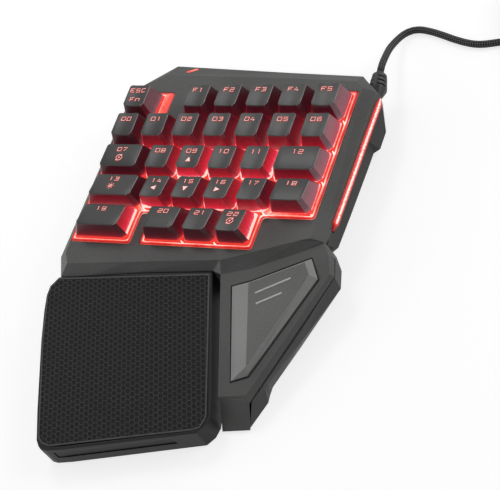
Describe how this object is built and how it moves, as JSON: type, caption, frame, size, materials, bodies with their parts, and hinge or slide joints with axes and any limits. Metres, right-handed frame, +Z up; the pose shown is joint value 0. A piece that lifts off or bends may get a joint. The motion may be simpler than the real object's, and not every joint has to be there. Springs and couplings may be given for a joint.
{
  "type": "gaming keypad",
  "caption": "One-handed backlit gaming keypad with a sliding palm rest, a thumb key beside it and a braided cable.",
  "frame": {"origin": "on the desk, under the middle of the keypad without its free cable", "axes": "+X to the right along the key rows, +Y to the back, +Z up"},
  "size_m": [0.263, 0.329, 0.0377],
  "materials": {
    "case_plastic": "fine textured dark grey",
    "base_plastic": "textured near black",
    "keycap_plastic": "satin dark grey",
    "red_light": "lit clear red",
    "thumb_plastic": "satin mid grey",
    "pad_rubber": "black with a honeycomb relief",
    "foot_rubber": "black",
    "dome_rubber": "milky silicone",
    "board": "green lacquer",
    "cable_braid": "braided black",
    "steel": "plain"
  },
  "bodies": {
    "case": {"light_guide": "red_light", "guide_plate": "base_plastic", "dome_sheet": "dome_rubber", "circuit_board": "board", "top_cover": "case_plastic", "base_shell": "base_plastic", "side_light": "red_light", "rear_light": "red_light", "thumb_switch": "base_plastic", "strain_relief": "foot_rubber", "cable": "cable_braid", "cable_coil": "cable_braid", "coil_tie": "cable_braid", "plug_body": "base_plastic", "plug_shell": "steel", "screw_1": "steel", "screw_2": "steel", "screw_3": "steel", "screw_4": "steel", "screw_5": "steel", "foot_1": "foot_rubber", "foot_2": "foot_rubber", "foot_3": "foot_rubber", "foot_4": "foot_rubber"},
    "rest": {"palm_rest": "case_plastic", "palm_pad": "pad_rubber", "rest_base": "base_plastic", "foot_5": "foot_rubber", "foot_6": "foot_rubber"},
    "thumb": {"thumb_key": "thumb_plastic"},
    "key_esc_cap": {"key_esc": "keycap_plastic"},
    "key_f1_cap": {"key_f1": "keycap_plastic"},
    "key_f2_cap": {"key_f2": "keycap_plastic"},
    "key_f3_cap": {"key_f3": "keycap_plastic"},
    "key_f4_cap": {"key_f4": "keycap_plastic"},
    "key_f5_cap": {"key_f5": "keycap_plastic"},
    "key_00_cap": {"key_00": "keycap_plastic"},
    "key_01_cap": {"key_01": "keycap_plastic"},
    "key_02_cap": {"key_02": "keycap_plastic"},
    "key_03_cap": {"key_03": "keycap_plastic"},
    "key_04_cap": {"key_04": "keycap_plastic"},
    "key_05_cap": {"key_05": "keycap_plastic"},
    "key_06_cap": {"key_06": "keycap_plastic"},
    "key_07_cap": {"key_07": "keycap_plastic"},
    "key_08_cap": {"key_08": "keycap_plastic"},
    "key_09_cap": {"key_09": "keycap_plastic"},
    "key_10_cap": {"key_10": "keycap_plastic"},
    "key_11_cap": {"key_11": "keycap_plastic"},
    "key_12_cap": {"key_12": "keycap_plastic"},
    "key_13_cap": {"key_13": "keycap_plastic"},
    "key_14_cap": {"key_14": "keycap_plastic"},
    "key_15_cap": {"key_15": "keycap_plastic"},
    "key_16_cap": {"key_16": "keycap_plastic"},
    "key_17_cap": {"key_17": "keycap_plastic"},
    "key_18_cap": {"key_18": "keycap_plastic"},
    "key_19_cap": {"key_19": "keycap_plastic"},
    "key_20_cap": {"key_20": "keycap_plastic"},
    "key_21_cap": {"key_21": "keycap_plastic"},
    "key_22_cap": {"key_22": "keycap_plastic"}
  },
  "joints": [
    {"name": "rest_slide", "type": "slide", "parent": "case", "child": "rest", "axis": [0.2924, -0.9563, 0], "range_m": [0, 0.02]},
    {"name": "thumb_press", "type": "slide", "parent": "case", "child": "thumb", "axis": [-0.0411, 0.1129, -0.9928], "range_m": [0, 0.0015], "stiffness_N_per_m": 400, "springref_m": -0.0012},
    {"name": "key_esc_press", "type": "slide", "parent": "case", "child": "key_esc_cap", "axis": [0, 0, -1], "range_m": [0, 0.0035], "stiffness_N_per_m": 150, "springref_m": -0.002},
    {"name": "key_f1_press", "type": "slide", "parent": "case", "child": "key_f1_cap", "axis": [0, 0, -1], "range_m": [0, 0.0035], "stiffness_N_per_m": 150, "springref_m": -0.002},
    {"name": "key_f2_press", "type": "slide", "parent": "case", "child": "key_f2_cap", "axis": [0, 0, -1], "range_m": [0, 0.0035], "stiffness_N_per_m": 150, "springref_m": -0.002},
    {"name": "key_f3_press", "type": "slide", "parent": "case", "child": "key_f3_cap", "axis": [0, 0, -1], "range_m": [0, 0.0035], "stiffness_N_per_m": 150, "springref_m": -0.002},
    {"name": "key_f4_press", "type": "slide", "parent": "case", "child": "key_f4_cap", "axis": [0, 0, -1], "range_m": [0, 0.0035], "stiffness_N_per_m": 150, "springref_m": -0.002},
    {"name": "key_f5_press", "type": "slide", "parent": "case", "child": "key_f5_cap", "axis": [0, 0, -1], "range_m": [0, 0.0035], "stiffness_N_per_m": 150, "springref_m": -0.002},
    {"name": "key_00_press", "type": "slide", "parent": "case", "child": "key_00_cap", "axis": [0, 0, -1], "range_m": [0, 0.0035], "stiffness_N_per_m": 150, "springref_m": -0.002},
    {"name": "key_01_press", "type": "slide", "parent": "case", "child": "key_01_cap", "axis": [0, 0, -1], "range_m": [0, 0.0035], "stiffness_N_per_m": 150, "springref_m": -0.002},
    {"name": "key_02_press", "type": "slide", "parent": "case", "child": "key_02_cap", "axis": [0, 0, -1], "range_m": [0, 0.0035], "stiffness_N_per_m": 150, "springref_m": -0.002},
    {"name": "key_03_press", "type": "slide", "parent": "case", "child": "key_03_cap", "axis": [0, 0, -1], "range_m": [0, 0.0035], "stiffness_N_per_m": 150, "springref_m": -0.002},
    {"name": "key_04_press", "type": "slide", "parent": "case", "child": "key_04_cap", "axis": [0, 0, -1], "range_m": [0, 0.0035], "stiffness_N_per_m": 150, "springref_m": -0.002},
    {"name": "key_05_press", "type": "slide", "parent": "case", "child": "key_05_cap", "axis": [0, 0, -1], "range_m": [0, 0.0035], "stiffness_N_per_m": 150, "springref_m": -0.002},
    {"name": "key_06_press", "type": "slide", "parent": "case", "child": "key_06_cap", "axis": [0, 0, -1], "range_m": [0, 0.0035], "stiffness_N_per_m": 150, "springref_m": -0.002},
    {"name": "key_07_press", "type": "slide", "parent": "case", "child": "key_07_cap", "axis": [0, 0, -1], "range_m": [0, 0.0035], "stiffness_N_per_m": 150, "springref_m": -0.002},
    {"name": "key_08_press", "type": "slide", "parent": "case", "child": "key_08_cap", "axis": [0, 0, -1], "range_m": [0, 0.0035], "stiffness_N_per_m": 150, "springref_m": -0.002},
    {"name": "key_09_press", "type": "slide", "parent": "case", "child": "key_09_cap", "axis": [0, 0, -1], "range_m": [0, 0.0035], "stiffness_N_per_m": 150, "springref_m": -0.002},
    {"name": "key_10_press", "type": "slide", "parent": "case", "child": "key_10_cap", "axis": [0, 0, -1], "range_m": [0, 0.0035], "stiffness_N_per_m": 150, "springref_m": -0.002},
    {"name": "key_11_press", "type": "slide", "parent": "case", "child": "key_11_cap", "axis": [0, 0, -1], "range_m": [0, 0.0035], "stiffness_N_per_m": 150, "springref_m": -0.002},
    {"name": "key_12_press", "type": "slide", "parent": "case", "child": "key_12_cap", "axis": [0, 0, -1], "range_m": [0, 0.0035], "stiffness_N_per_m": 150, "springref_m": -0.002},
    {"name": "key_13_press", "type": "slide", "parent": "case", "child": "key_13_cap", "axis": [0, 0, -1], "range_m": [0, 0.0035], "stiffness_N_per_m": 150, "springref_m": -0.002},
    {"name": "key_14_press", "type": "slide", "parent": "case", "child": "key_14_cap", "axis": [0, 0, -1], "range_m": [0, 0.0035], "stiffness_N_per_m": 150, "springref_m": -0.002},
    {"name": "key_15_press", "type": "slide", "parent": "case", "child": "key_15_cap", "axis": [0, 0, -1], "range_m": [0, 0.0035], "stiffness_N_per_m": 150, "springref_m": -0.002},
    {"name": "key_16_press", "type": "slide", "parent": "case", "child": "key_16_cap", "axis": [0, 0, -1], "range_m": [0, 0.0035], "stiffness_N_per_m": 150, "springref_m": -0.002},
    {"name": "key_17_press", "type": "slide", "parent": "case", "child": "key_17_cap", "axis": [0, 0, -1], "range_m": [0, 0.0035], "stiffness_N_per_m": 150, "springref_m": -0.002},
    {"name": "key_18_press", "type": "slide", "parent": "case", "child": "key_18_cap", "axis": [0, 0, -1], "range_m": [0, 0.0035], "stiffness_N_per_m": 150, "springref_m": -0.002},
    {"name": "key_19_press", "type": "slide", "parent": "case", "child": "key_19_cap", "axis": [0, 0, -1], "range_m": [0, 0.0035], "stiffness_N_per_m": 150, "springref_m": -0.002},
    {"name": "key_20_press", "type": "slide", "parent": "case", "child": "key_20_cap", "axis": [0, 0, -1], "range_m": [0, 0.0035], "stiffness_N_per_m": 150, "springref_m": -0.002},
    {"name": "key_21_press", "type": "slide", "parent": "case", "child": "key_21_cap", "axis": [0, 0, -1], "range_m": [0, 0.0035], "stiffness_N_per_m": 150, "springref_m": -0.002},
    {"name": "key_22_press", "type": "slide", "parent": "case", "child": "key_22_cap", "axis": [0, 0, -1], "range_m": [0, 0.0035], "stiffness_N_per_m": 150, "springref_m": -0.002}
  ]
}
